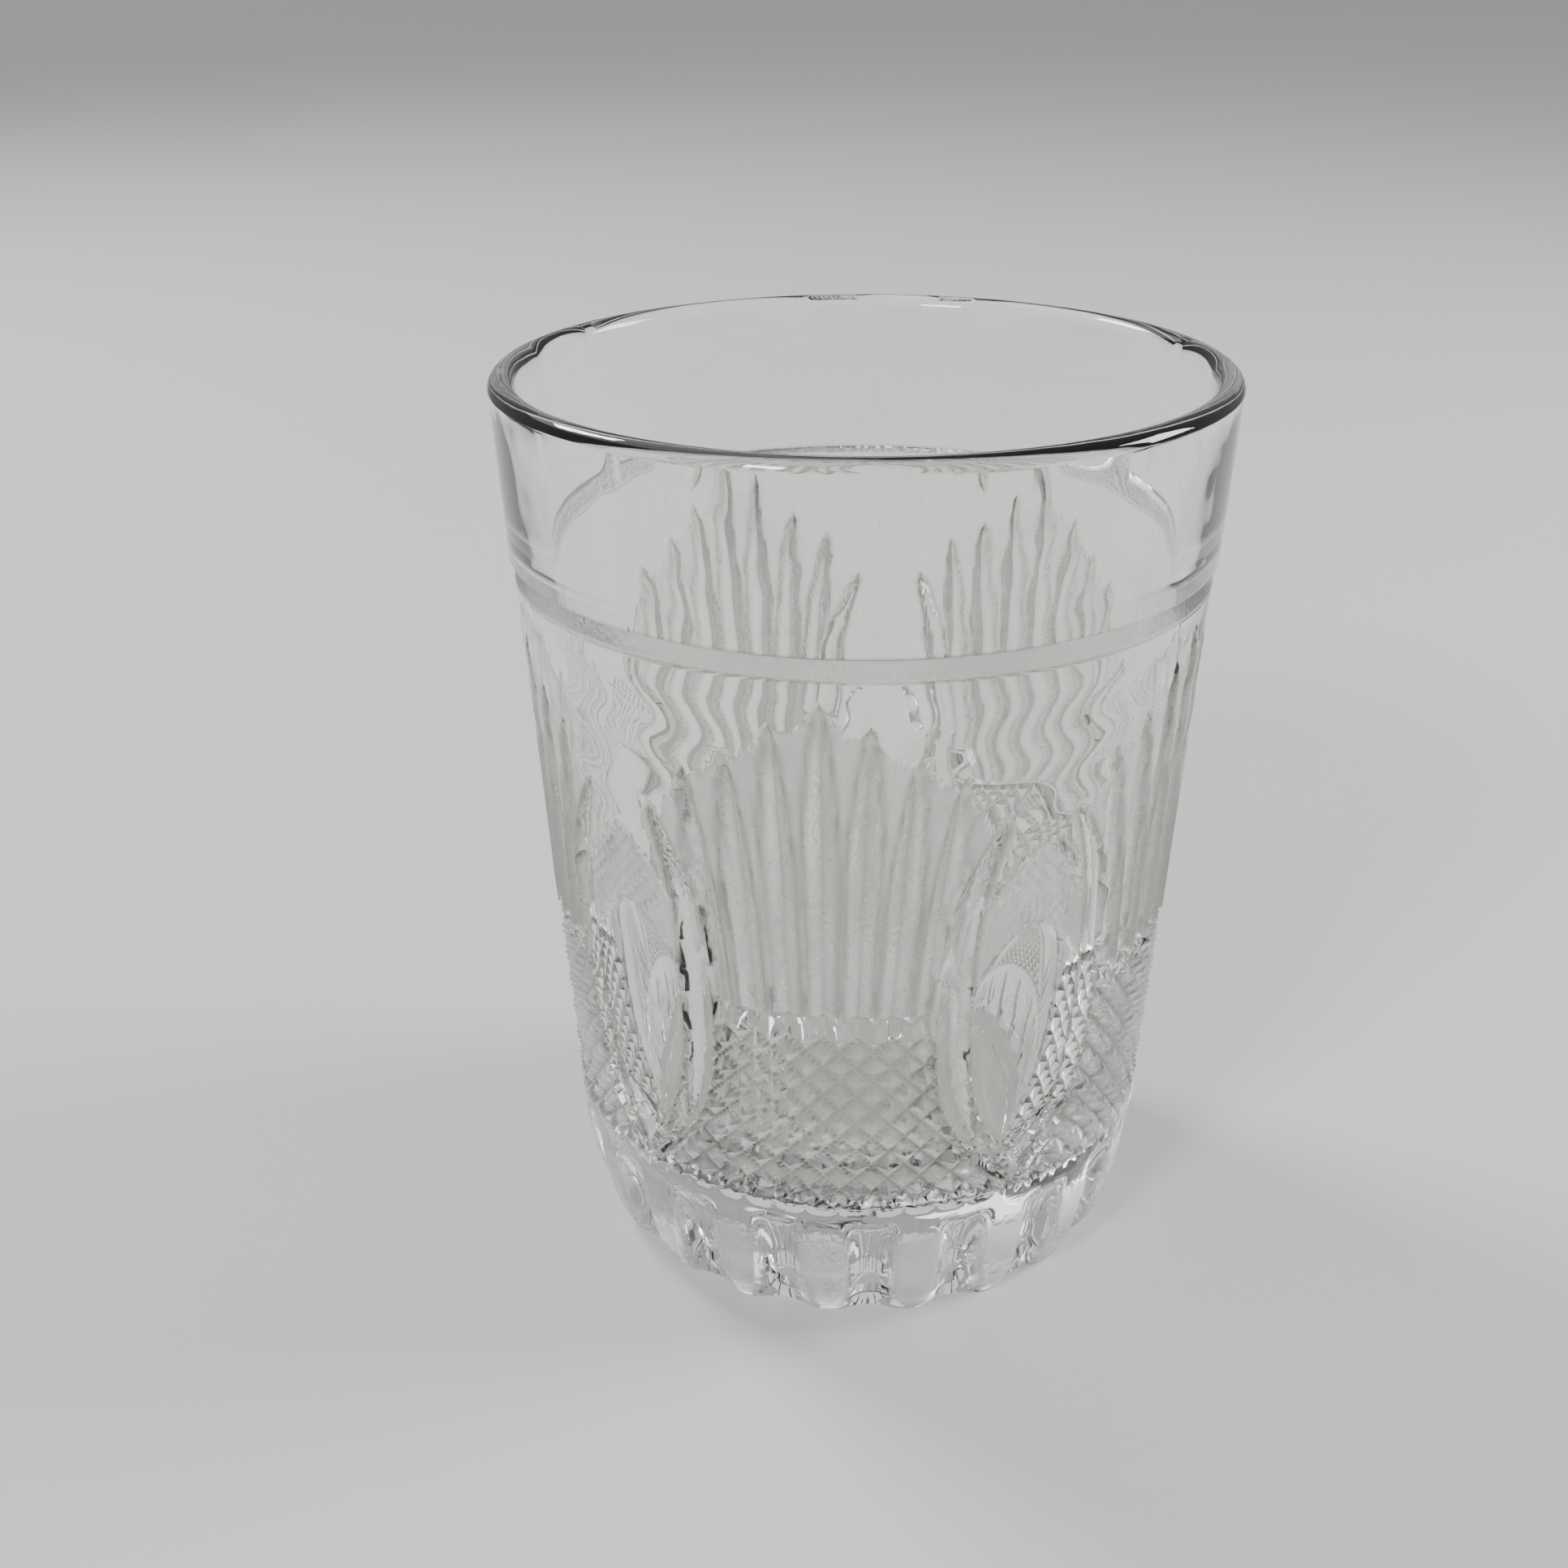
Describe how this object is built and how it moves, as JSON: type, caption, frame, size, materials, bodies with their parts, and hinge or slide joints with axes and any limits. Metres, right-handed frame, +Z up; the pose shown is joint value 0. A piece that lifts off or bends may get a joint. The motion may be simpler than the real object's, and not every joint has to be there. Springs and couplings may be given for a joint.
{
  "type": "whiskey tumbler",
  "caption": "Straight-sided pressed-glass tumbler with a plain rounded lip, fan-cut and diamond-point wall, thick base and scalloped foot.",
  "frame": {"origin": "centre of the foot's resting plane, on the tumbler's axis", "axes": "+Z up along the axis, from the foot to the mouth"},
  "size_m": [0.074, 0.074, 0.094],
  "materials": {
    "clear_glass": "fire-polished clear pressed glass"
  },
  "bodies": {
    "root": {"pressed_glass_body": "clear_glass"}
  },
  "joints": []
}
